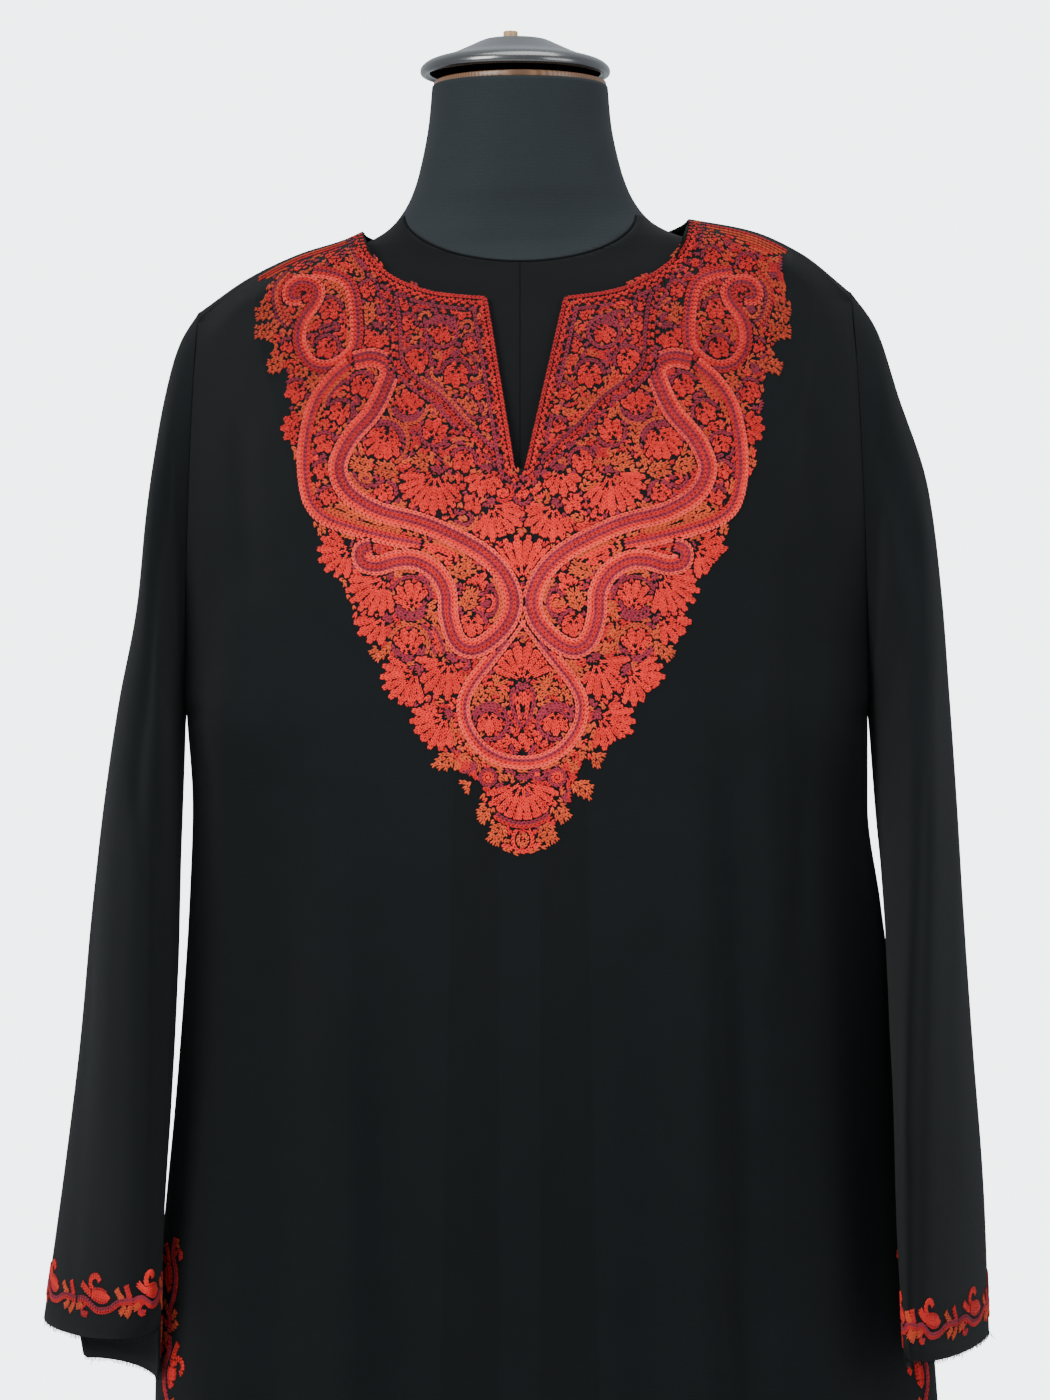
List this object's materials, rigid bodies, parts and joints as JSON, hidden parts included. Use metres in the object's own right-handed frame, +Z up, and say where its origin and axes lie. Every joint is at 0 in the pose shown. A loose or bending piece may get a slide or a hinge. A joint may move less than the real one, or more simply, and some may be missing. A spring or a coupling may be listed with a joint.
{
  "type": "pheran on a dress form",
  "caption": "Long loose tunic with long sleeves, a slit round neck and a raised stitched yoke, worn by a limbless dress form on a pole and round base.",
  "frame": {"origin": "on the floor, under the middle of the round base", "axes": "+Z up, -Y towards the front of the garment, +X towards the wearer's left"},
  "size_m": [0.6064, 0.38, 1.4888],
  "materials": {
    "cloth": "fine black wool twill, soft and matt",
    "stitching": "crewel chain stitch in red, crimson, plum and rust wool",
    "jersey": "dark slate ribbed jersey, stretched tight",
    "plate_wood": "brown varnished wood",
    "cap_gloss": "black gloss lacquer",
    "peg_wood": "pale sawn wood",
    "stand_metal": "satin black powder coat"
  },
  "bodies": {
    "root": {"front_panel": "cloth", "back_panel": "cloth", "sleeve_right": "cloth", "sleeve_left": "cloth", "form_torso": "jersey", "neck_plate": "plate_wood", "neck_cap": "cap_gloss", "cap_peg": "peg_wood", "form_pole": "stand_metal", "form_base": "stand_metal"}
  },
  "joints": []
}
